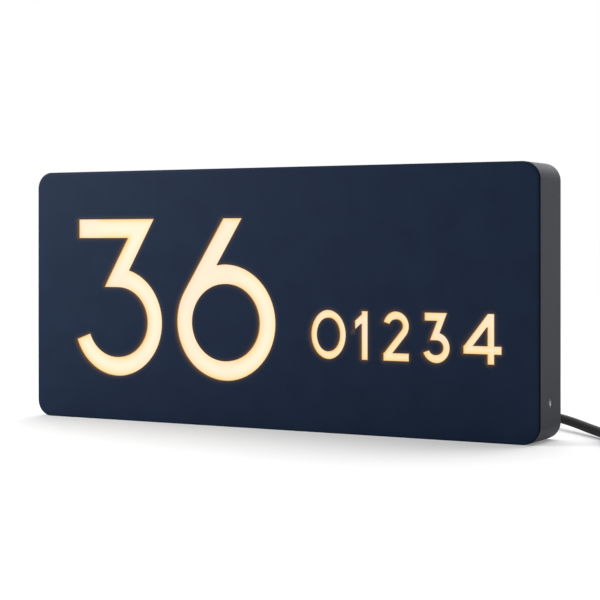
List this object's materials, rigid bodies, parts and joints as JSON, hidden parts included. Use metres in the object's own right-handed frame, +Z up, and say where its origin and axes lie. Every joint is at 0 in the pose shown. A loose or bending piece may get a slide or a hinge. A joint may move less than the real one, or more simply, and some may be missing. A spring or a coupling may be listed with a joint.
{
  "type": "illuminated house number sign",
  "caption": "Slim rounded box with a navy front plate, digits cut through it over a lit opal panel, a charcoal side band and a rear mains lead.",
  "frame": {"origin": "middle of the box's underside, on the surface it stands on, without the cord", "axes": "+X along the width to the viewer's right, +Y to the back (the wall), +Z up; the face looks along -Y"},
  "size_m": [0.508, 0.1207, 0.16],
  "materials": {
    "navy_coat": "fine matt powder coat, navy",
    "charcoal_coat": "fine matt powder coat, charcoal",
    "opal_acrylic": "satin opal acrylic, lit warm white from behind",
    "black_rubber": "matt moulded rubber",
    "zinc_steel": "bright zinc plate",
    "black_steel": "black oxide",
    "bare_aluminium": "mill finish",
    "white_film": "white reflector film",
    "white_board": "white solder mask",
    "led_phosphor": "yellow phosphor in a white frame",
    "driver_plastic": "moulded off-white plastic",
    "green_board": "green solder mask",
    "wound_parts": "yellow tape and sleeve",
    "terminal_nylon": "natural nylon",
    "inner_lead": "brown and blue insulation",
    "black_nylon": "moulded black nylon",
    "cord_jacket": "smooth black jacket",
    "tie_strip": "black plastic strip",
    "plug_plastic": "moulded black plastic",
    "plated_brass": "nickel-plated brass"
  },
  "bodies": {
    "base": {"back_plate": "bare_aluminium", "rim_seal": "black_rubber", "side_brackets": "bare_aluminium", "top_guides": "bare_aluminium", "bracket_rivets": "bare_aluminium", "reflector_sheet": "white_film", "bar_screws": "zinc_steel", "driver_case": "driver_plastic", "driver_lid": "driver_plastic", "driver_board": "green_board", "driver_components": "wound_parts", "driver_straps": "zinc_steel", "strap_screws": "zinc_steel", "terminal_block": "terminal_nylon", "terminal_screws": "zinc_steel", "supply_leads": "inner_lead", "driver_leads": "inner_lead", "output_leads": "inner_lead", "link_leads": "inner_lead", "lead_clips": "terminal_nylon", "gland_body": "black_nylon", "gland_washer": "black_rubber", "gland_locknut": "black_nylon", "gland_seal": "black_rubber", "gland_cap": "black_nylon", "cord_boot": "black_rubber", "cord_entry": "cord_jacket", "cord_lead": "cord_jacket", "cord_coil": "cord_jacket", "cord_tail": "cord_jacket", "cord_tie": "tie_strip", "plug_boot": "plug_plastic", "plug_body": "plug_plastic", "plug_pins": "plated_brass", "pin_sleeves": "plug_plastic", "led_bar_1": "white_board", "led_bar_2": "white_board", "led_bar_3": "white_board", "led_bar_4": "white_board", "led_bar_5": "white_board", "led_bar_6": "white_board", "led_chips_1": "led_phosphor", "led_chips_2": "led_phosphor", "led_chips_3": "led_phosphor", "led_chips_4": "led_phosphor", "led_chips_5": "led_phosphor", "led_chips_6": "led_phosphor"},
    "cover": {"face_plate": "navy_coat", "large_digit_counter": "navy_coat", "small_digit_counters": "navy_coat", "face_gasket": "black_rubber", "housing_frame": "charcoal_coat", "diffuser_panel": "opal_acrylic", "face_studs": "zinc_steel", "retainer_clips": "zinc_steel", "stud_nuts": "zinc_steel", "side_screws": "black_steel", "side_nuts": "zinc_steel"}
  },
  "joints": [
    {"name": "cover_slide", "type": "slide", "parent": "base", "child": "cover", "axis": [0, -1, 0], "range_m": [0, 0.025]}
  ]
}
